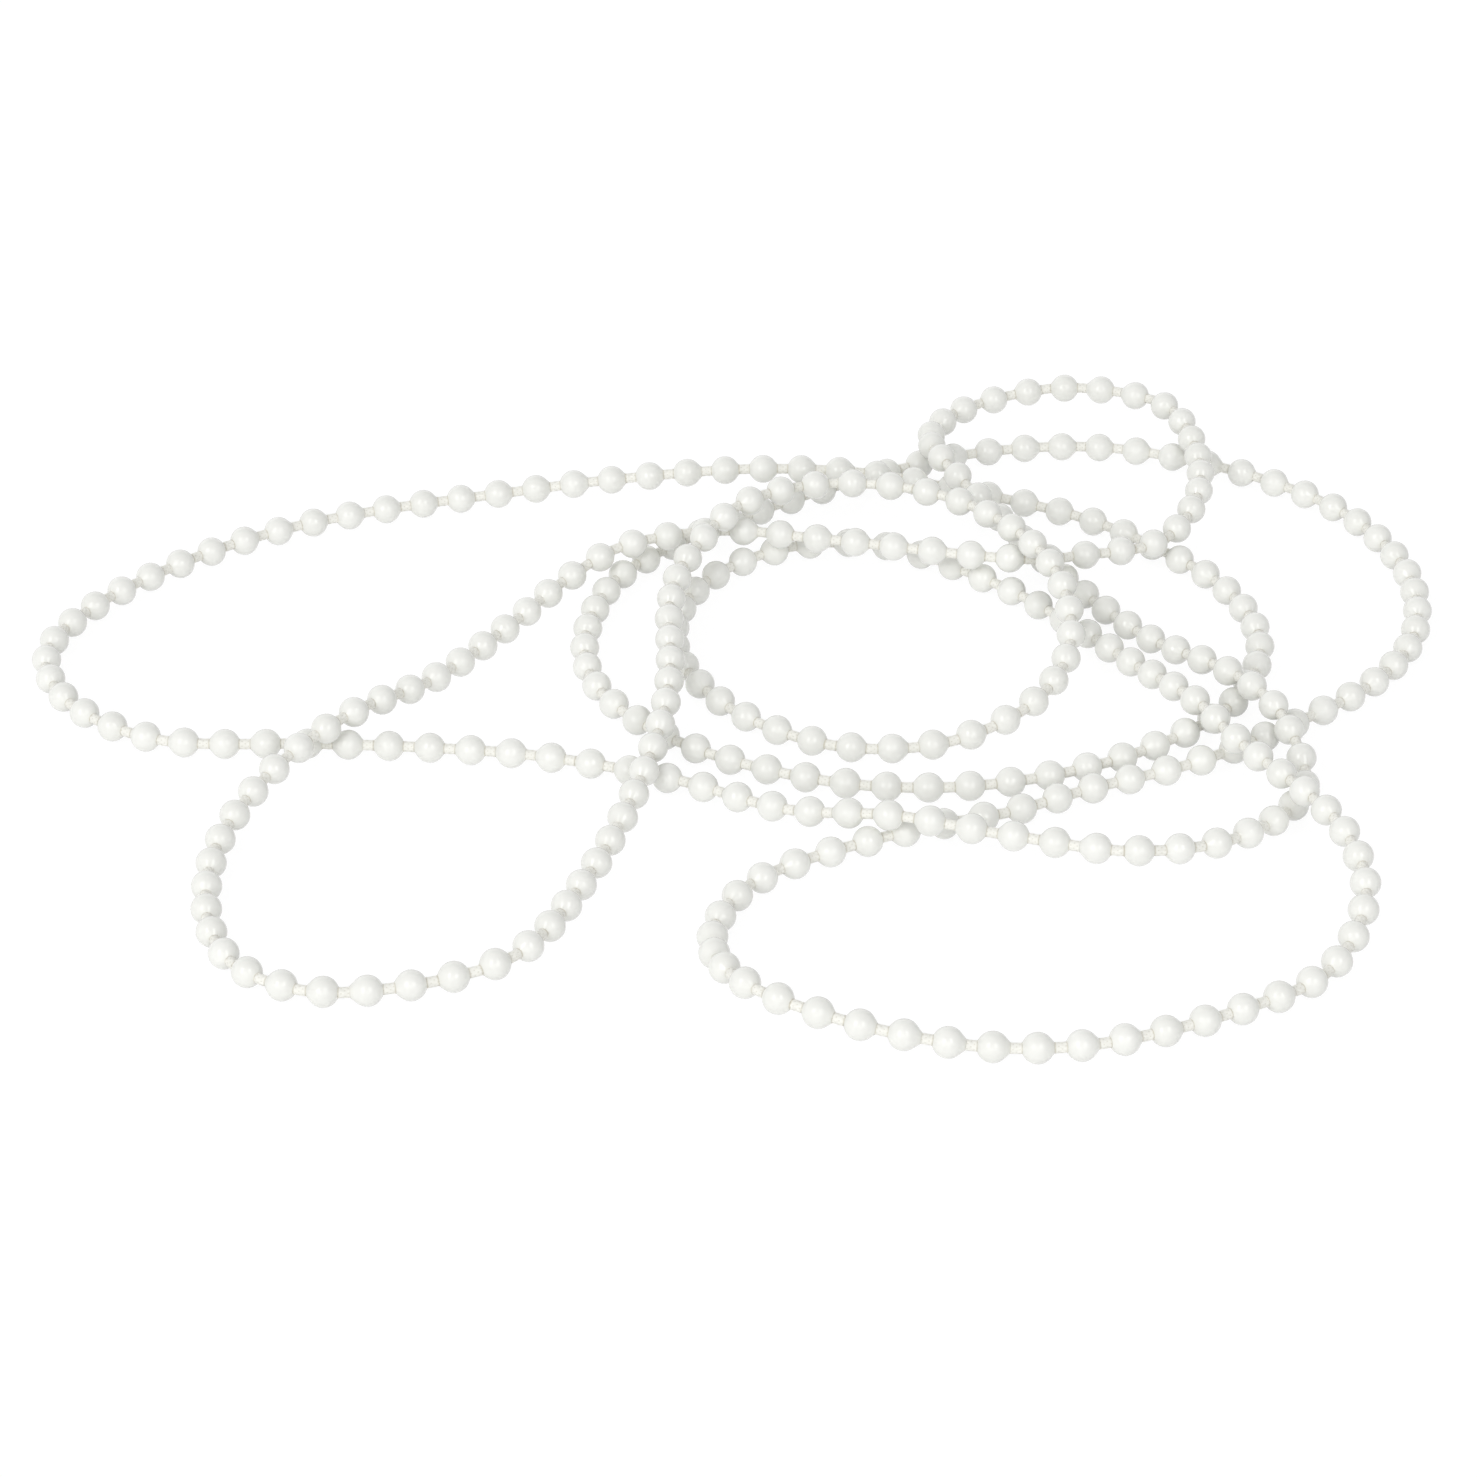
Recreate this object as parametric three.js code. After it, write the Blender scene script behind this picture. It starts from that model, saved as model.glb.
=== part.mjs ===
// Roller blind chain: an endless loop of cord with round beads moulded on it,
// lying in a loose heap on a flat surface. Millimetres, +Z up.
import * as THREE from 'three';

// Sizes of the chain
const beadDiameter = 4.4;
const beadTip = 0.1;          // each bead's short tapered tip, beyond the ball
const beadBelt = 1.8;         // stretch of a bead that has its full width
const bareCord = 1.4;         // cord to be seen between two beads
const cordDiameter = 1.5;
const strandGap = 0.4;        // space left where one strand lies on another

// Fineness of the faceted form
const beadCorners = 5;
const cordCorners = 3;
const stepsPerRoutePoint = 24;

const beadLength = beadDiameter + 2 * beadTip;
const beadPitch = beadLength + bareCord;
const strandRise = beadDiameter + strandGap;

// The route that the heaped chain follows, as x, y and lift. A lift of 0 lies on
// the surface, and a lift of 1 lies on one strand. The last point leads back to
// the first. The points were fitted to a real heap by a program, and rounded to
// half a millimetre and to 0.05 of a lift.
const route = [
  // across the far side, over the two strands there, and down the right
  [53, 95.5, 0.7], [37.5, 90.5, 0.5], [31, 79.5, 0.65], [32.5, 66.5, 1.05],
  [48, 41, 0.05], [52, 33.5, 0], [61.5, 17, 0.15], [73.5, 0, 0.75],
  [79, -10.5, 0.7], [81.5, -26.5, 0], [70.5, -42.5, 0.25], [55.5, -48.5, 0.55],
  // leftwards through the near side to the left bend
  [39, -44.5, 0.55], [22.5, -41, 0.8], [7, -35, 0.3], [-9.5, -24.5, 0.05],
  [-29, -17.5, 0], [-46, -15, 0], [-60.5, -14, 0], [-85, -12.5, 0],
  [-98.5, -2, 0], [-103.5, 12.5, 0], [-99, 26, 0], [-85, 42.5, 0],
  // along the far edge to the right, and round the right of the middle
  [-70.5, 53, 0], [-57, 59, 0], [-37.5, 64, 0.1], [-20, 65.5, 0.45],
  [2.5, 65.5, 0.85], [20, 65, 0.75], [33.5, 65, 0.2], [53.5, 57, 0],
  [66, 45.5, 0], [74.5, 33.5, 0], [78.5, 16.5, 0], [73, -2, 0],
  // back under the other strands and round the left of the middle
  [59.5, -15.5, 0], [44, -23.5, 0], [28.5, -26.5, 0], [12.5, -24.5, 0],
  [-6.5, -15, 0], [-19.5, 0, 0], [-23, 15, 0], [-19, 35.5, 0],
  [-11, 46.5, 0], [4, 59.5, 0], [19, 69.5, 0], [38.5, 79, 0],
  // round the outside of the right half
  [57.5, 81, 0], [74, 75.5, 0], [87.5, 66.5, 0], [96.5, 56, 0],
  [103, 38, 0], [102, 19, 0], [95, 5, 0], [80.5, -9, 0],
  [66, -19.5, 0], [50.5, -27, 0], [38.5, -33.5, 0], [23.5, -39, 0],
  // the near loop
  [2.5, -52.5, 0], [-3.5, -68, 0.1], [1, -84.5, 0.75], [15.5, -93, 0.55],
  [33, -95, 0.05], [48, -94, 0], [68, -85.5, 0], [80.5, -76, 0.05],
  [87, -60, 0.5], [85, -44.5, 0.85], [72, -18.5, 0.75], [67, -8, 0.8],
  // the inner loop
  [58.5, 8, 0.3], [50, 22.5, 0.05], [38.5, 36, 0], [22.5, 47.5, 0],
  [8.5, 47, 0], [-5, 35.5, 0], [-9.5, 16.5, 0], [-1, -3.5, 0],
  [14.5, -14.5, 0], [30, -14, 0.05], [43, -6, 0.45], [49.5, 9, 0.85],
  // on top of the pile, and down to the near left bend
  [47, 29.5, 1.5], [33, 49.5, 1.5], [16, 55, 1.45], [1.5, 47.5, 1.6],
  [-7, 34.5, 1.2], [-10, 21.5, 1.05], [-10, 0, 0.9], [-11, -13, 0.8],
  [-14.5, -31, 0.5], [-21, -53, 0.25], [-30, -73.5, 0.3], [-40.5, -78.5, 0.05],
  // round the near left bend and back up to the far side
  [-57, -81, 0], [-67.5, -75.5, 0], [-73, -64, 0], [-73.5, -43.5, 0.1],
  [-66.5, -25, 0.5], [-56.5, -11.5, 0.75], [-45, 2.5, 0.35], [-34.5, 19, 0.3],
  [-25.5, 33, 0.5], [-17.5, 40, 0.8], [-2.5, 45.5, 0.75], [13.5, 41, 0.95],
  [44, 35.5, 0.85], [52.5, 37.5, 0.75], [65, 43.5, 0.6], [71.5, 55.5, 0.8],
  [72.5, 74.5, 0.8], [68, 88.5, 0.85],
];

// One smooth closed curve through the route, at the height of the cord's middle
function makeCurve() {
  const points = route.map(([x, y, lift]) => {
    return new THREE.Vector3(x, y, beadDiameter / 2 + lift * strandRise);
  });
  const curve = new THREE.CatmullRomCurve3(points, true);
  curve.arcLengthDivisions = stepsPerRoutePoint * route.length;
  return curve;
}

// Adds one ring of corners square to the cord, and returns where it starts
function addRing(positions, middle, across, up, radius, corners, turn) {
  const start = positions.length / 3;
  for (let i = 0; i < corners; i += 1) {
    const angle = ((i + turn) / corners) * 2 * Math.PI;
    const corner = middle.clone();
    corner.addScaledVector(across, radius * Math.cos(angle));
    corner.addScaledVector(up, radius * Math.sin(angle));
    positions.push(corner.x, corner.y, corner.z);
  }
  return { start, corners, turn };
}

// Joins two rings with a band of triangles that face outwards
function joinRings(faces, a, b) {
  const corner = (ring, i) => ring.start + (i % ring.corners);
  const angle = (ring, i) => (i + ring.turn) / ring.corners;
  let i = 0;
  let j = 0;
  while (i < a.corners || j < b.corners) {
    const stepOnA = j === b.corners || (i < a.corners && angle(a, i + 1) <= angle(b, j + 1));
    if (stepOnA) {
      faces.push(corner(a, i), corner(a, i + 1), corner(b, j));
      i += 1;
    } else {
      faces.push(corner(a, i), corner(b, j + 1), corner(b, j));
      j += 1;
    }
  }
}

// The whole chain as one closed skin: each bead is four rings along the cord's
// direction, and the cord runs from one bead's last ring to the next one's first
function makeChain() {
  const curve = makeCurve();
  const beadCount = Math.round(curve.getLength() / beadPitch);
  const frames = curve.computeFrenetFrames(beadCount, true);
  const beadRings = [
    { along: -beadLength / 2, radius: cordDiameter / 2, corners: cordCorners, turn: 0 },
    { along: -beadBelt / 2, radius: beadDiameter / 2, corners: beadCorners, turn: 0 },
    { along: beadBelt / 2, radius: beadDiameter / 2, corners: beadCorners, turn: 0.5 },
    { along: beadLength / 2, radius: cordDiameter / 2, corners: cordCorners, turn: 0 },
  ];
  const positions = [];
  const faces = [];
  const rings = [];
  for (let bead = 0; bead < beadCount; bead += 1) {
    const middle = curve.getPointAt(bead / beadCount);
    for (const { along, radius, corners, turn } of beadRings) {
      const place = middle.clone().addScaledVector(frames.tangents[bead], along);
      const across = frames.normals[bead];
      const up = frames.binormals[bead];
      rings.push(addRing(positions, place, across, up, radius, corners, turn));
    }
  }
  rings.forEach((ring, i) => joinRings(faces, ring, rings[(i + 1) % rings.length]));
  const geometry = new THREE.BufferGeometry();
  geometry.setAttribute('position', new THREE.Float32BufferAttribute(positions, 3));
  geometry.setIndex(faces);
  geometry.computeVertexNormals();
  return geometry;
}

const whitePlastic = new THREE.MeshStandardMaterial({
  color: 0xe9eae2,
  roughness: 0.35,
  metalness: 0,
});

const chain = new THREE.Mesh(makeChain(), whitePlastic);
chain.name = 'bead_chain';

const part = new THREE.Group();
part.add(chain);

export default part;
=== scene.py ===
import math

import bpy
import numpy as np
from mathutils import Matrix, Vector


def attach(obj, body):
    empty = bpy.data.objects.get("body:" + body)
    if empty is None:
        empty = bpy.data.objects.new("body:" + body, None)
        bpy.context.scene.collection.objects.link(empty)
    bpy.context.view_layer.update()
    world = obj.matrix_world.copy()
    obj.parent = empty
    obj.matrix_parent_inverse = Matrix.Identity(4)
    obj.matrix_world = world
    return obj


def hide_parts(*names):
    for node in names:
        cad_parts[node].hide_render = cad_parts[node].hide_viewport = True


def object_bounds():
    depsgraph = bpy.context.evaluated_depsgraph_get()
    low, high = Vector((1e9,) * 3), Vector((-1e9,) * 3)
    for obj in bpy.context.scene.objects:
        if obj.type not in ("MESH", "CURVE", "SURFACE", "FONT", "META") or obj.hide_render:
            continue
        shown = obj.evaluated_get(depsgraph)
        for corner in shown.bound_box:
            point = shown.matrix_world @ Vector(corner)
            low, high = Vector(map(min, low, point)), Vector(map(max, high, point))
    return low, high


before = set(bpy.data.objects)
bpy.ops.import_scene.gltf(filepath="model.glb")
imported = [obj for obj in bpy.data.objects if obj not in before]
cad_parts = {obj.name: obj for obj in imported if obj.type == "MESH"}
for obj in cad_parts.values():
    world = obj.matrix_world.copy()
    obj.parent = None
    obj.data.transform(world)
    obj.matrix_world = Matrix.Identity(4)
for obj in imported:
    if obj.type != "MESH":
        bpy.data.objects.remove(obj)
cad_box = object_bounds()

MM = 0.001

# Sizes of the chain, as in the part's source, in millimetres
BEAD_DIAMETER = 4.4
BEAD_TIP = 0.1
BARE_CORD = 1.4
CORD_DIAMETER = 1.5
STRAND_GAP = 0.4
BEAD_LENGTH = BEAD_DIAMETER + 2 * BEAD_TIP
BEAD_PITCH = BEAD_LENGTH + BARE_CORD
STRAND_RISE = BEAD_DIAMETER + STRAND_GAP

# The route that the heaped chain follows, as x, y and lift, as in the part's
# source. A lift of 0 lies on the surface, and a lift of 1 lies on one strand. The
# points were fitted to a real heap by a program, and rounded to half a millimetre
# and to 0.05 of a lift.
ROUTE = [
    # across the far side, over the two strands there, and down the right
    (53, 95.5, 0.7), (37.5, 90.5, 0.5), (31, 79.5, 0.65), (32.5, 66.5, 1.05),
    (48, 41, 0.05), (52, 33.5, 0), (61.5, 17, 0.15), (73.5, 0, 0.75),
    (79, -10.5, 0.7), (81.5, -26.5, 0), (70.5, -42.5, 0.25), (55.5, -48.5, 0.55),
    # leftwards through the near side to the left bend
    (39, -44.5, 0.55), (22.5, -41, 0.8), (7, -35, 0.3), (-9.5, -24.5, 0.05),
    (-29, -17.5, 0), (-46, -15, 0), (-60.5, -14, 0), (-85, -12.5, 0),
    (-98.5, -2, 0), (-103.5, 12.5, 0), (-99, 26, 0), (-85, 42.5, 0),
    # along the far edge to the right, and round the right of the middle
    (-70.5, 53, 0), (-57, 59, 0), (-37.5, 64, 0.1), (-20, 65.5, 0.45),
    (2.5, 65.5, 0.85), (20, 65, 0.75), (33.5, 65, 0.2), (53.5, 57, 0),
    (66, 45.5, 0), (74.5, 33.5, 0), (78.5, 16.5, 0), (73, -2, 0),
    # back under the other strands and round the left of the middle
    (59.5, -15.5, 0), (44, -23.5, 0), (28.5, -26.5, 0), (12.5, -24.5, 0),
    (-6.5, -15, 0), (-19.5, 0, 0), (-23, 15, 0), (-19, 35.5, 0),
    (-11, 46.5, 0), (4, 59.5, 0), (19, 69.5, 0), (38.5, 79, 0),
    # round the outside of the right half
    (57.5, 81, 0), (74, 75.5, 0), (87.5, 66.5, 0), (96.5, 56, 0),
    (103, 38, 0), (102, 19, 0), (95, 5, 0), (80.5, -9, 0),
    (66, -19.5, 0), (50.5, -27, 0), (38.5, -33.5, 0), (23.5, -39, 0),
    # the near loop
    (2.5, -52.5, 0), (-3.5, -68, 0.1), (1, -84.5, 0.75), (15.5, -93, 0.55),
    (33, -95, 0.05), (48, -94, 0), (68, -85.5, 0), (80.5, -76, 0.05),
    (87, -60, 0.5), (85, -44.5, 0.85), (72, -18.5, 0.75), (67, -8, 0.8),
    # the inner loop
    (58.5, 8, 0.3), (50, 22.5, 0.05), (38.5, 36, 0), (22.5, 47.5, 0),
    (8.5, 47, 0), (-5, 35.5, 0), (-9.5, 16.5, 0), (-1, -3.5, 0),
    (14.5, -14.5, 0), (30, -14, 0.05), (43, -6, 0.45), (49.5, 9, 0.85),
    # on top of the pile, and down to the near left bend
    (47, 29.5, 1.5), (33, 49.5, 1.5), (16, 55, 1.45), (1.5, 47.5, 1.6),
    (-7, 34.5, 1.2), (-10, 21.5, 1.05), (-10, 0, 0.9), (-11, -13, 0.8),
    (-14.5, -31, 0.5), (-21, -53, 0.25), (-30, -73.5, 0.3), (-40.5, -78.5, 0.05),
    # round the near left bend and back up to the far side
    (-57, -81, 0), (-67.5, -75.5, 0), (-73, -64, 0), (-73.5, -43.5, 0.1),
    (-66.5, -25, 0.5), (-56.5, -11.5, 0.75), (-45, 2.5, 0.35), (-34.5, 19, 0.3),
    (-25.5, 33, 0.5), (-17.5, 40, 0.8), (-2.5, 45.5, 0.75), (13.5, 41, 0.95),
    (44, 35.5, 0.85), (52.5, 37.5, 0.75), (65, 43.5, 0.6), (71.5, 55.5, 0.8),
    (72.5, 74.5, 0.8), (68, 88.5, 0.85),
]

# Fineness of the shapes: steps of the line between two route points, corners round a
# bead and round the cord, bands of the cord between two beads, bands of half a bead's
# ball, and how far along its cone the cone's rings lie
STEPS_PER_POINT = 48
BEAD_SEGMENTS = 32
CORD_SEGMENTS = 24
CORD_BANDS = 11
BALL_STEPS = 6
CONE_STEPS = (0.3, 0.6, 0.85, 1.0)

# How many pieces hold all the beads
BEAD_GROUPS = 6

# A bead's tips: the angle at which the ball turns into a cone, in degrees, at its
# blunt end and at its pointed one, and the cone's edge round the cord
BLUNT_TAPER = 58
SHARP_TAPER = 48
TIP_LIP = 0.05

# How much the beads differ: in degrees of taper, as a share of their width, and in
# radians of roll. Their width differs only where a bead is wider than a share of it.
TAPER_SPREAD = 2.5
SIZE_SPREAD = 0.007
ROLL_SPREAD = 0.5
FULL_FROM = 0.4
SEED = 11

# The braid: strands each way round the cord, their slant, turns per millimetre along
# it, how strongly they rise and dip at their crossings, the whole relief, the height
# that lies on the plain cord, and the yarns in a strand
BRAID_STRANDS = 6
BRAID_SLANT = math.radians(40)
BRAID_SLIP = math.tan(BRAID_SLANT) / (math.pi * CORD_DIAMETER)
BRAID_WEAVE = 0.6
BRAID_RELIEF = 0.08
BRAID_MEAN = 0.6
YARNS_PER_STRAND = 3

# How far the cord's fine skin reaches into a bead
CORD_SINK = 0.35


# The camera and its picture
IMAGE_SIZE = 1477
FOCAL_PIXELS = 5658
SENSOR_WIDTH = 36
CAMERA_ELEVATION = math.radians(29.98)
CAMERA_DISTANCE = 830.6
CAMERA_TARGET = Vector((0.1, -8.6, 0))


def make_camera():
    data = bpy.data.cameras.new("camera")
    data.sensor_width = SENSOR_WIDTH
    data.lens = FOCAL_PIXELS / IMAGE_SIZE * SENSOR_WIDTH
    camera = bpy.data.objects.new("camera", data)
    back = Vector((0, -math.cos(CAMERA_ELEVATION), math.sin(CAMERA_ELEVATION)))
    camera.location = (CAMERA_TARGET + back * CAMERA_DISTANCE) * MM
    camera.rotation_euler = (math.pi / 2 - CAMERA_ELEVATION, 0, 0)
    bpy.context.scene.collection.objects.link(camera)
    bpy.context.scene.camera = camera


# The chain's line

def smooth_loop(points, steps):
    """Points along one smooth closed curve through the given points."""
    t = (np.arange(steps) / steps)[None, :, None]
    before, after, beyond = (np.roll(points, k, axis=0) for k in (1, -1, -2))
    a, b, c = (
        np.sqrt(np.linalg.norm(q - p, axis=1, keepdims=True))
        for p, q in ((before, points), (points, after), (after, beyond))
    )
    leave = b * ((points - before) / a - (after - before) / (a + b) + (after - points) / b)
    arrive = b * ((after - points) / b - (beyond - points) / (b + c) + (beyond - after) / c)
    square = -3 * points + 3 * after - 2 * leave - arrive
    cube = 2 * points - 2 * after + leave + arrive
    curve = points[:, None] + leave[:, None] * t + square[:, None] * t**2 + cube[:, None] * t**3
    return curve.reshape(-1, 3)


def unit(vectors):
    return vectors / np.linalg.norm(vectors, axis=-1, keepdims=True)


def bead_places():
    """Each bead's middle, and its directions along, across and up."""
    points = np.array([(x, y, BEAD_DIAMETER / 2 + lift * STRAND_RISE) for x, y, lift in ROUTE])
    line = smooth_loop(points, STEPS_PER_POINT)
    line = np.vstack([line, line[:1]])
    along_line = np.append(0, np.cumsum(np.linalg.norm(np.diff(line, axis=0), axis=1)))
    length = along_line[-1]
    count = round(length / BEAD_PITCH)
    places = np.arange(count) * length / count

    def at(distance):
        return np.stack(
            [np.interp(distance % length, along_line, line[:, k]) for k in range(3)], axis=1
        )

    middles = at(places)
    along = unit(at(places + BEAD_LENGTH / 4) - at(places - BEAD_LENGTH / 4))
    across = [unit(np.cross(along[0], (0, 0, 1)))]
    for i in range(1, count):
        across.append(unit(across[-1] - along[i] * np.dot(across[-1], along[i])))
    across = np.array(across)
    up = np.cross(along, across)
    # what is left to turn where the loop closes is shared by all the beads
    last = across[-1] - along[0] * np.dot(across[-1], along[0])
    turn = math.atan2(np.dot(last, up[0]), np.dot(last, across[0]))
    angle = -turn * np.arange(count)[:, None] / count
    turned = across * np.cos(angle) + up * np.sin(angle)
    return middles, along, turned, np.cross(along, turned), length


MIDDLES, ALONG, ACROSS, UP, CHAIN_LENGTH = bead_places()
BEAD_COUNT = len(MIDDLES)


# Meshes

def join_rings(ring_count, corners, closed, first=0):
    """Quads between neighbouring rings of corners, seen from outside."""
    faces = []
    bands = ring_count if closed else ring_count - 1
    for ring in range(bands):
        a = first + ring * corners
        b = first + (ring + 1) % ring_count * corners
        for i in range(corners):
            j = (i + 1) % corners
            faces.append((a + i, a + j, b + j, b + i))
    return faces


def add_piece(name, points, faces, values, material):
    """A smooth mesh from points in millimetres, with values at its points that the
    material reads."""
    mesh = bpy.data.meshes.new(name)
    mesh.from_pydata((np.asarray(points) * MM).tolist(), [], faces)
    mesh.polygons.foreach_set("use_smooth", [True] * len(faces))
    for label, parts in values.items():
        layer = mesh.attributes.new(label, "FLOAT", "POINT")
        layer.data.foreach_set("value", np.concatenate(parts).astype(np.float32))
    mesh.materials.append(material)
    mesh.update()
    piece = bpy.data.objects.new(name, mesh)
    bpy.context.scene.collection.objects.link(piece)
    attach(piece, "root")
    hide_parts("bead_chain")
    return piece


def half_bead(taper):
    """Half of a bead's outline, as distance along the cord and radius: a ball as far
    as the angle taper, then a straight cone that closes on the cord."""
    ball = BEAD_DIAMETER / 2
    tip = CORD_DIAMETER / 2 + TIP_LIP
    outline = []
    for step in range(BALL_STEPS + 1):
        angle = taper * step / BALL_STEPS
        outline.append((ball * math.sin(angle), ball * math.cos(angle)))
    cone = (outline[-1][1] - tip) / math.sin(taper)
    for share in CONE_STEPS:
        s = ball * math.sin(taper) + share * cone * math.cos(taper)
        r = ball * math.cos(taper) - share * cone * math.sin(taper)
        outline.append((s, r))
    outline.append((s - TIP_LIP / 2, CORD_DIAMETER / 2 - TIP_LIP))
    return np.array(outline)


def mouth_place(taper):
    """How far from a bead's middle the cord comes out of the end with that taper."""
    return half_bead(math.radians(taper))[-2, 0]


def bead_outline(blunt_taper, sharp_taper):
    """A bead's whole outline, from its blunt end to its more pointed one."""
    blunt = half_bead(blunt_taper)[:0:-1] * (-1, 1)
    return np.vstack([blunt, half_bead(sharp_taper)])


def make_beads(material):
    """The beads, in a few pieces that follow each other along the chain. Each bead
    differs a little from the next, as moulded ones do."""
    chance = np.random.default_rng(SEED)
    turn = 2 * math.pi * np.arange(BEAD_SEGMENTS) / BEAD_SEGMENTS
    pieces = []
    for group in range(BEAD_GROUPS):
        start = group * BEAD_COUNT // BEAD_GROUPS
        stop = (group + 1) * BEAD_COUNT // BEAD_GROUPS
        points = []
        faces = []
        values = {"side": [], "along": [], "tone": []}
        for i in range(start, stop):
            outline = bead_outline(
                math.radians(chance.normal(BLUNT_TAPER, TAPER_SPREAD)),
                math.radians(chance.normal(SHARP_TAPER, TAPER_SPREAD)),
            )
            s, r = outline.T
            size = 1 + chance.normal(0, SIZE_SPREAD)
            oval = chance.normal(0, SIZE_SPREAD) * np.cos(2 * (turn - chance.uniform(0, math.pi)))
            fullness = np.clip(r / (BEAD_DIAMETER / 2) - FULL_FROM, 0, 1)[:, None]
            radius = r[:, None] * (1 + fullness * (size - 1 + oval))
            angle = turn + chance.normal(0, ROLL_SPREAD)
            bead = (
                MIDDLES[i]
                + s[:, None, None] * ALONG[i]
                + (radius * np.cos(angle))[..., None] * ACROSS[i]
                + (radius * np.sin(angle))[..., None] * UP[i]
            )
            count = len(outline) * BEAD_SEGMENTS
            first = count * (i - start)
            rings = np.arange(count).reshape(-1, BEAD_SEGMENTS) + first
            faces += join_rings(len(outline), BEAD_SEGMENTS, False, first)
            faces += [tuple(rings[0][::-1]), tuple(rings[-1])]
            points.append(bead.reshape(-1, 3))
            values["side"].append(np.tile(np.sin(turn), len(outline)))
            values["along"].append(np.repeat(s / (BEAD_LENGTH / 2), BEAD_SEGMENTS))
            values["tone"].append(np.full(count, chance.uniform(0, 1)))
        pieces.append(add_piece(f"beads_{group + 1}", np.vstack(points), faces, values, material))
    return pieces


def braid_height(turn, distance):
    """Height of the braid's surface, from 0 in a crevice to 1 on a strand."""
    right = BRAID_STRANDS * (turn + distance * BRAID_SLIP)
    left = BRAID_STRANDS * (turn - distance * BRAID_SLIP)
    over = np.cos(math.pi * (left + np.round(right)))
    under = np.cos(math.pi * (right + np.round(left)))
    right_height = BRAID_WEAVE * over - (2 * (right - np.round(right))) ** 2
    left_height = -BRAID_WEAVE * under - (2 * (left - np.round(left))) ** 2
    return (1 + np.maximum(right_height, left_height)) / (1 + BRAID_WEAVE)


def make_cord(material):
    """The cord through all the beads: straight inside a bead, and bent in a smooth
    curve across the bare stretch between two."""
    reach = BEAD_LENGTH / 2 - CORD_SINK
    pitch = CHAIN_LENGTH / BEAD_COUNT
    t = (np.arange(CORD_BANDS + 1) / CORD_BANDS)[:, None]
    turn = np.arange(CORD_SEGMENTS) / CORD_SEGMENTS
    angle = 2 * math.pi * turn
    centres = []
    points = []
    distances = []
    for i in range(BEAD_COUNT):
        j = (i + 1) % BEAD_COUNT
        start = MIDDLES[i] + ALONG[i] * reach
        end = MIDDLES[j] - ALONG[j] * reach
        pull = np.linalg.norm(end - start)
        line = (
            (2 * t**3 - 3 * t**2 + 1) * start
            + (t**3 - 2 * t**2 + t) * ALONG[i] * pull
            + (3 * t**2 - 2 * t**3) * end
            + (t**3 - t**2) * ALONG[j] * pull
        )
        across = unit(ACROSS[i] * (1 - t) + ACROSS[j] * t)
        up = unit(UP[i] * (1 - t) + UP[j] * t)
        distance = i * pitch + reach + t * (pitch - 2 * reach)
        height = braid_height(turn, distance)
        radius = CORD_DIAMETER / 2 + BRAID_RELIEF * (height - BRAID_MEAN)
        ring = (
            line[:, None]
            + (radius * np.cos(angle))[..., None] * across[:, None]
            + (radius * np.sin(angle))[..., None] * up[:, None]
        )
        centres.append(line)
        points.append(ring.reshape(-1, 3))
        distances.append(distance)
    centres = np.vstack(centres)
    distances = np.vstack(distances)[:, 0]
    faces = join_rings(len(centres), CORD_SEGMENTS, True)
    # how far each ring is from the nearest bead's mouth, where the cord gets painted shade
    bare = np.minimum(
        t * (pitch - 2 * reach) - (mouth_place(SHARP_TAPER) - reach),
        (1 - t) * (pitch - 2 * reach) - (mouth_place(BLUNT_TAPER) - reach),
    )
    values = {"bare": [np.tile(np.repeat(bare[:, 0], CORD_SEGMENTS), BEAD_COUNT)]}
    cord = add_piece("cord", np.vstack(points), faces, values, material)
    add_braid_map(cord.data, distances)
    return cord, np.vstack([centres, centres[:1]]) * MM


def add_braid_map(mesh, distances):
    """Each face corner's place on the cord: turns round it, and millimetres along."""
    places = np.append(distances, CHAIN_LENGTH + distances[0])
    ring, corner = np.divmod(np.arange(len(mesh.polygons)), CORD_SEGMENTS)
    turns = np.stack([corner, corner + 1, corner + 1, corner], axis=1) / CORD_SEGMENTS
    along = np.stack([places[ring], places[ring], places[ring + 1], places[ring + 1]], axis=1)
    layer = mesh.uv_layers.new(name="braid")
    layer.data.foreach_set("uv", np.stack([turns, along], axis=-1).astype(np.float32).ravel())


# Materials

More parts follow.
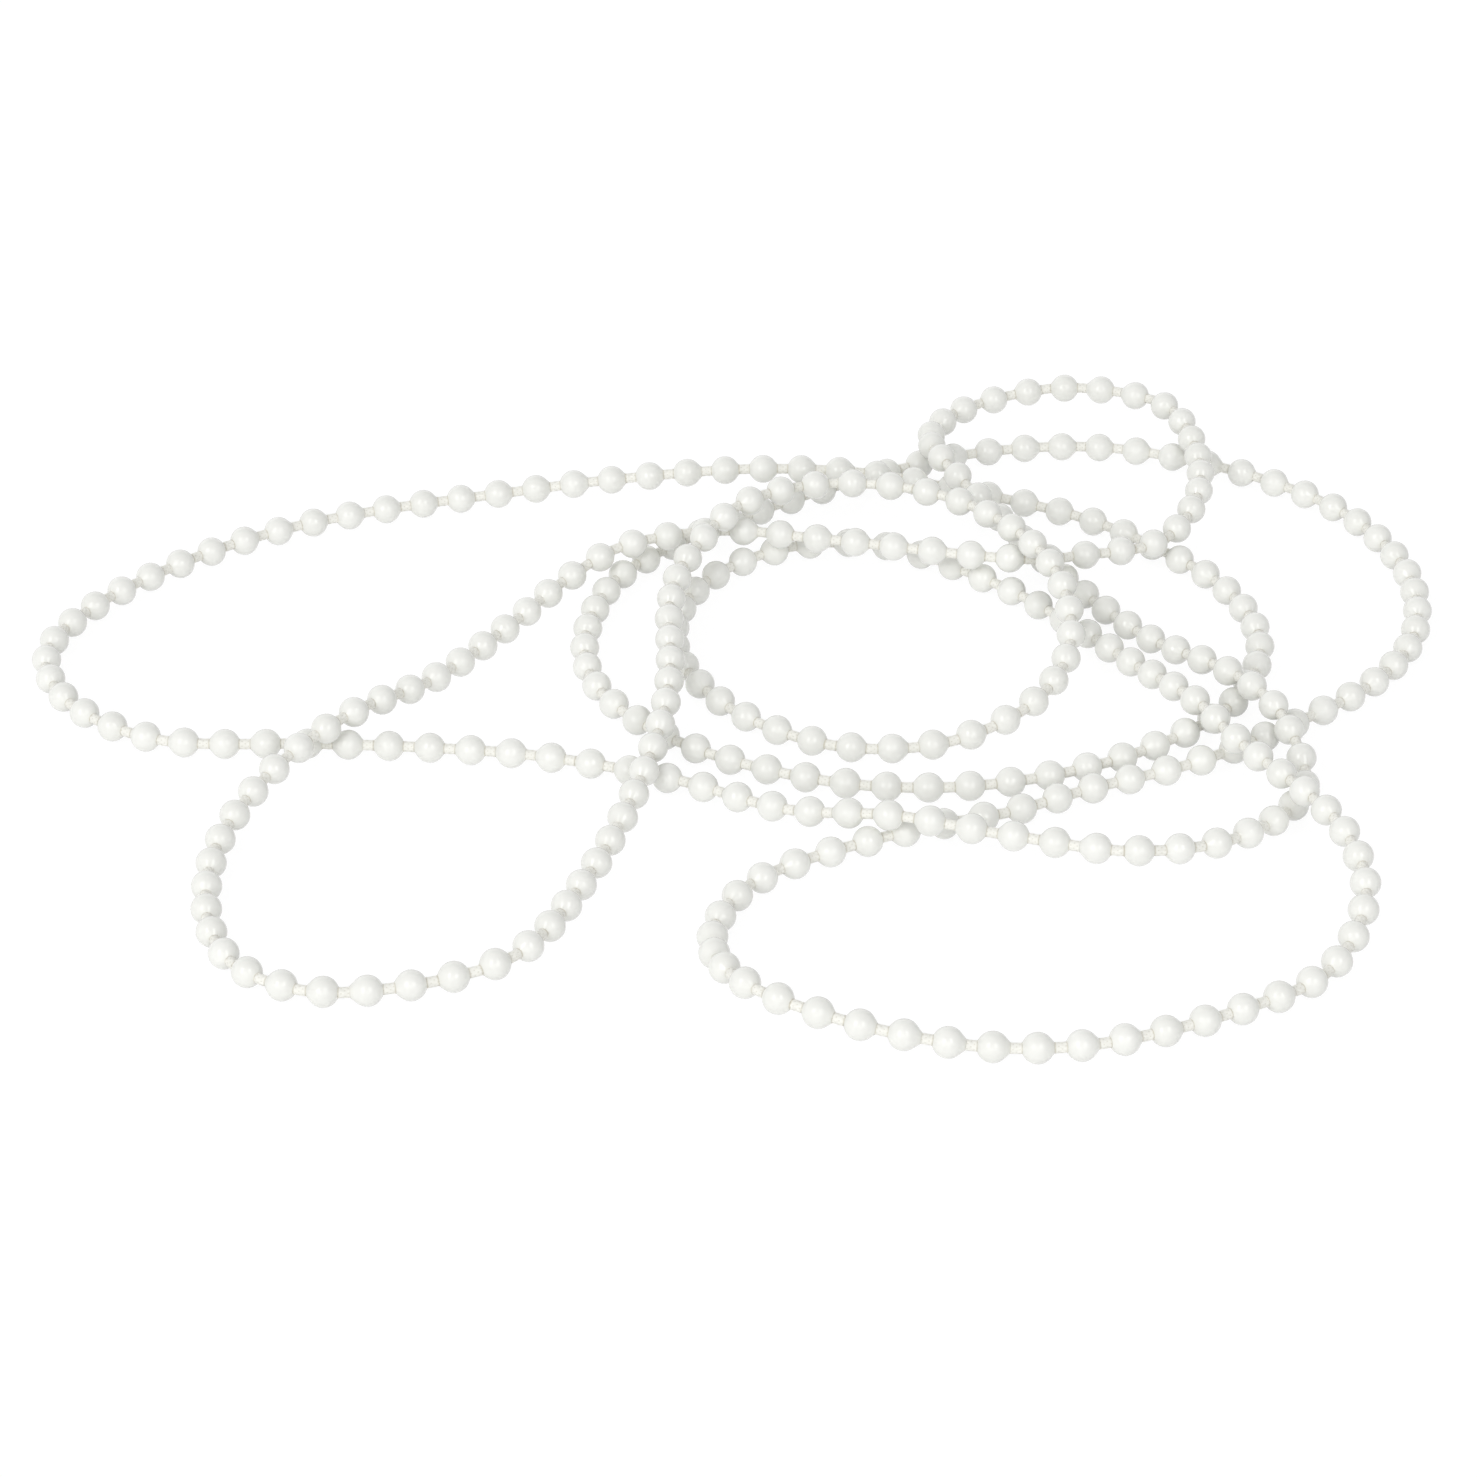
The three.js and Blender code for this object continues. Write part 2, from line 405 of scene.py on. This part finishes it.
class Shading:
    """The nodes of a material or of the world."""

    def __init__(self, owner):
        owner.use_nodes = True
        self.tree = owner.node_tree
        self.tree.nodes.clear()

    def node(self, kind, **sockets):
        node = self.tree.nodes.new("ShaderNode" + kind)
        for label, value in sockets.items():
            self.feed(node.inputs[label.replace("_", " ")], value)
        return node

    def feed(self, socket, value):
        """Links a socket to another node's, or sets it to a plain value."""
        if isinstance(value, bpy.types.NodeSocket):
            self.tree.links.new(value, socket)
        else:
            socket.default_value = value

    def attribute(self, name):
        node = self.node("Attribute")
        node.attribute_name = name
        return node.outputs["Fac"]

    def noise(self, scale, detail=3.0):
        place = self.node("TexCoord").outputs["Object"]
        return self.node("TexNoise", Vector=place, Scale=scale, Detail=detail).outputs["Fac"]

    def spread(self, value, low, high, new_low=0.0, new_high=1.0):
        """Maps a value from one range to another, and holds it at the ends."""
        node = self.node("MapRange", Value=value)
        self.feed(node.inputs["From Min"], low)
        self.feed(node.inputs["From Max"], high)
        self.feed(node.inputs["To Min"], new_low)
        self.feed(node.inputs["To Max"], new_high)
        return node.outputs["Result"]

    def maths(self, operation, *values):
        node = self.node("Math")
        node.operation = operation
        for socket, value in zip(node.inputs, values):
            self.feed(socket, value)
        return node.outputs["Value"]

    def mixed(self, factor, first, second):
        """From the first colour to the second as factor goes from 0 to 1."""
        node = self.node("Mix")
        node.data_type = "RGBA"
        sockets = {socket.identifier: socket for socket in node.inputs}
        self.feed(sockets["Factor_Float"], factor)
        self.feed(sockets["A_Color"], first)
        self.feed(sockets["B_Color"], second)
        results = {socket.identifier: socket for socket in node.outputs}
        return results["Result_Color"]

    def bumped(self, height, strength, depth, normal=None):
        """The surface's direction with bumps of that depth in millimetres."""
        node = self.node("Bump", Height=height, Strength=strength, Distance=depth * MM)
        if normal is not None:
            self.feed(node.inputs["Normal"], normal)
        return node.outputs["Normal"]

    def finish(self, kind, shader):
        self.feed(self.node("Output" + kind).inputs["Surface"], shader)


def colour(red, green, blue):
    return (red, green, blue, 1)


# The plastic's colours: two shades that the beads vary between, the flow marks, and
# the painted shade on the tips, where the bead narrows onto the cord
PLASTIC_WARM = colour(0.860, 0.862, 0.822)
PLASTIC_PALE = colour(0.885, 0.887, 0.852)
PLASTIC_FLOW = colour(0.830, 0.832, 0.790)
PLASTIC_TIP_SHADE = colour(0.76, 0.755, 0.69)

# Scales of the plastic's flow marks, gloss and fine unevenness, with the gloss's
# roughness from low to high
FLOW_SCALE = 420
GLOSS_SCALE = 900
PEEL_SCALE = 1500
GLOSS = (0.06, 0.11)

# Where the painted shade on the tips begins, as a share of half a bead's length, and
# how wide the parting line is, as a share of a bead's radius
TIP_SHADE_FROM = 0.80
SEAM_HALF = 0.04


def bead_material():
    """Moulded white plastic, a little warm, with faint flow marks, a fine parting line
    down both sides, and painted shade on the tips where the cord comes out."""
    material = bpy.data.materials.new("white_plastic")
    shading = Shading(material)
    shader = shading.node("BsdfPrincipled", IOR=1.53)
    tone = shading.attribute("tone")
    bead = shading.mixed(tone, PLASTIC_WARM, PLASTIC_PALE)
    flow = shading.spread(shading.noise(FLOW_SCALE), 0.35, 0.7, 0.0, 0.35)
    body = shading.mixed(flow, bead, PLASTIC_FLOW)
    to_tip = shading.maths("ABSOLUTE", shading.attribute("along"))
    # painted shade: the colour darkens towards the tips, where the bead narrows onto the cord
    tip_shade = shading.spread(to_tip, TIP_SHADE_FROM, 1.0, 0.0, 0.4)
    shading.feed(shader.inputs["Base Color"], shading.mixed(tip_shade, body, PLASTIC_TIP_SHADE))
    roughness = shading.spread(shading.noise(GLOSS_SCALE), 0.3, 0.7, *GLOSS)
    shading.feed(shader.inputs["Roughness"], roughness)
    to_seam = shading.maths("ABSOLUTE", shading.attribute("side"))
    seam = shading.spread(to_seam, 0.0, SEAM_HALF, 1.0, 0.0)
    normal = shading.bumped(shading.noise(PEEL_SCALE, 1.0), 0.1, 0.02)
    normal = shading.bumped(seam, 0.35, 0.03, normal)
    shading.feed(shader.inputs["Normal"], normal)
    shading.finish("Material", shader.outputs["BSDF"])
    return material


def braid_shading(shading):
    """The braid's height and its fine yarns, worked out as braid_height does."""
    place = shading.node("UVMap")
    place.uv_map = "braid"
    axes = shading.node("SeparateXYZ", Vector=place.outputs["UV"]).outputs
    slip = shading.maths("MULTIPLY", axes["Y"], BRAID_SLIP)
    families = []
    for sign, way in (("ADD", 1), ("SUBTRACT", -1)):
        turns = shading.maths(sign, axes["X"], slip)
        families.append((shading.maths("MULTIPLY", turns, BRAID_STRANDS), way))
    heights = []
    yarns = []
    for (own, way), (other, _) in (families, families[::-1]):
        strand = shading.maths("ROUND", own)
        phase = shading.maths("MULTIPLY", shading.maths("ADD", other, strand), math.pi)
        weave = shading.maths("MULTIPLY", shading.maths("COSINE", phase), way * BRAID_WEAVE)
        off = shading.maths("MULTIPLY", shading.maths("SUBTRACT", own, strand), 2)
        heights.append(shading.maths("SUBTRACT", weave, shading.maths("MULTIPLY", off, off)))
        ripple = shading.maths("MULTIPLY", own, 2 * math.pi * YARNS_PER_STRAND)
        yarns.append(shading.maths("COSINE", ripple))
    first_on_top = shading.maths("GREATER_THAN", heights[0], heights[1])
    top = shading.maths("MAXIMUM", *heights)
    height = shading.spread(top, -1, BRAID_WEAVE)
    yarn = shading.node("Mix", Factor=first_on_top)
    shading.feed(yarn.inputs["A"], yarns[1])
    shading.feed(yarn.inputs["B"], yarns[0])
    return height, shading.spread(yarn.outputs["Result"], -1, 1)


# The cord's colours: two shades that it varies between, its grain, the painted shade in
# its crevices, and the painted shade where it comes out of a bead
CORD_CREAM = colour(0.885, 0.88, 0.825)
CORD_PALE = colour(0.92, 0.915, 0.865)
CORD_GRAIN = colour(0.83, 0.815, 0.745)
CORD_CREVICE_SHADE = colour(0.58, 0.555, 0.46)
CORD_MOUTH_SHADE = colour(0.50, 0.46, 0.35)

# Scales of the cord's change of tone, its grain and its fuzz, and how many
# millimetres of it carry painted shade where it comes out of a bead
SHADE_SCALE = 250
GRAIN_SCALE = 2500
FUZZ_SCALE = 6000
MOUTH_SHADE_LENGTH = 0.2


def cord_material():
    """Braided polyester: matt, cream white, with fine yarns along each strand, painted
    shade in the braid's crevices, and painted shade where it comes out of a bead."""
    material = bpy.data.materials.new("braided_cord")
    shading = Shading(material)
    shader = shading.node("BsdfPrincipled", Roughness=0.75)
    shader.inputs["Specular IOR Level"].default_value = 0.3
    shader.inputs["Sheen Weight"].default_value = 0.3
    shader.inputs["Sheen Roughness"].default_value = 0.4
    height, yarn = braid_shading(shading)
    shade = shading.spread(shading.noise(SHADE_SCALE), 0.35, 0.65)
    light = shading.mixed(shade, CORD_CREAM, CORD_PALE)
    grain = shading.spread(shading.noise(GRAIN_SCALE), 0.3, 0.7, 0.0, 0.4)
    strand = shading.mixed(grain, light, CORD_GRAIN)
    # painted shade: the braid's crevices are made darker in the colour
    crevice_shade = shading.spread(height, 0.0, 0.5, 0.6, 0.0)
    braid = shading.mixed(crevice_shade, strand, CORD_CREVICE_SHADE)
    # painted shade: the cord darkens, with a warm tint, where it goes into a bead
    mouth_shade = shading.spread(shading.attribute("bare"), 0.0, MOUTH_SHADE_LENGTH, 0.6, 0.0)
    shading.feed(shader.inputs["Base Color"], shading.mixed(mouth_shade, braid, CORD_MOUTH_SHADE))
    normal = shading.bumped(height, 0.7, 0.06)
    normal = shading.bumped(yarn, 0.5, 0.02, normal)
    normal = shading.bumped(shading.noise(FUZZ_SCALE, 2.0), 0.3, 0.02, normal)
    shading.feed(shader.inputs["Normal"], normal)
    shading.finish("Material", shader.outputs["BSDF"])
    return material


def seen_directly(shading):
    """1 for what the camera sees, also in gloss or through glass, and 0 for light."""
    rays = shading.node("LightPath").outputs
    seen = shading.maths("MAXIMUM", rays["Is Camera Ray"], rays["Is Glossy Ray"])
    return shading.maths("MAXIMUM", seen, rays["Is Transmission Ray"])


# The floor: pale to the light, and white with a faint shadow to the camera
FLOOR_PALE = 0.94
FLOOR_WHITE = 0.92
FLOOR_SHADE = 0.12
FLOOR_HALF = 6.0


def floor_material():
    material = bpy.data.materials.new("pale_floor")
    shading = Shading(material)
    pale = shading.node("BsdfDiffuse", Color=colour(FLOOR_PALE, FLOOR_PALE, FLOOR_PALE))
    shade = shading.node("BsdfDiffuse", Color=colour(FLOOR_SHADE, FLOOR_SHADE, FLOOR_SHADE))
    white = shading.node("Emission", Color=colour(FLOOR_WHITE, FLOOR_WHITE, FLOOR_WHITE))
    seen = shading.node("AddShader")
    shading.feed(seen.inputs[0], shade.outputs["BSDF"])
    shading.feed(seen.inputs[1], white.outputs["Emission"])
    floor = shading.node("MixShader", Fac=seen_directly(shading))
    shading.feed(floor.inputs[1], pale.outputs["BSDF"])
    shading.feed(floor.inputs[2], seen.outputs["Shader"])
    shading.finish("Material", floor.outputs["Shader"])
    return material


def make_floor():
    mesh = bpy.data.meshes.new("floor")
    half = FLOOR_HALF
    corners = [(-half, -half, 0), (half, -half, 0), (half, half, 0), (-half, half, 0)]
    mesh.from_pydata(corners, [], [(0, 1, 2, 3)])
    mesh.materials.append(floor_material())
    floor = bpy.data.objects.new("floor", mesh)
    floor.location.z = cad_box[0].z
    bpy.context.scene.collection.objects.link(floor)


# Light: a broad soft panel in front and a weaker one behind, two upright soft boxes
# beside the camera, which each bead shows as two small lights, and a surround that
# is brighter on the left
LEFT_LEVEL = 0.87
RIGHT_LEVEL = 0.30
LAMPS = [
    # name, place, width, height, power
    ("panel", (0, -2.25, 0.82), 3.6, 1.2, 12.5),
    ("left_box", (-0.96, -1.22, 1.13), 0.60, 1.05, 6.8),
    ("right_box", (0.68, -1.34, 1.20), 0.54, 0.90, 5.0),
    ("back_panel", (-0.30, 2.15, 1.05), 3.6, 1.2, 7.0),
]


def make_lamps():
    for name, place, width, height, power in LAMPS:
        data = bpy.data.lights.new(name, "AREA")
        data.shape = "RECTANGLE"
        data.size = width
        data.size_y = height
        data.energy = power
        lamp = bpy.data.objects.new(name, data)
        lamp.location = place
        lamp.rotation_euler = (-Vector(place)).to_track_quat("-Z", "Y").to_euler()
        lamp.visible_camera = False
        bpy.context.scene.collection.objects.link(lamp)


def make_world():
    """A surround that lights from the left more than from the right, and is plain white
    where it is seen."""
    world = bpy.data.worlds.new("surround")
    bpy.context.scene.world = world
    shading = Shading(world)
    direction = shading.node("TexCoord").outputs["Generated"]
    right = shading.node("SeparateXYZ", Vector=direction).outputs["X"]
    light = shading.spread(right, -1.0, 1.0, LEFT_LEVEL, RIGHT_LEVEL)
    level = shading.spread(seen_directly(shading), 0.0, 1.0, light, 1.0)
    surround = shading.node("Background", Color=colour(1, 1, 1), Strength=level)
    shading.finish("World", surround.outputs["Background"])


make_camera()
cord, cord_path = make_cord(cord_material())
beads = make_beads(bead_material())
make_floor()
make_lamps()
make_world()
bpy.context.scene.view_settings.view_transform = "Standard"
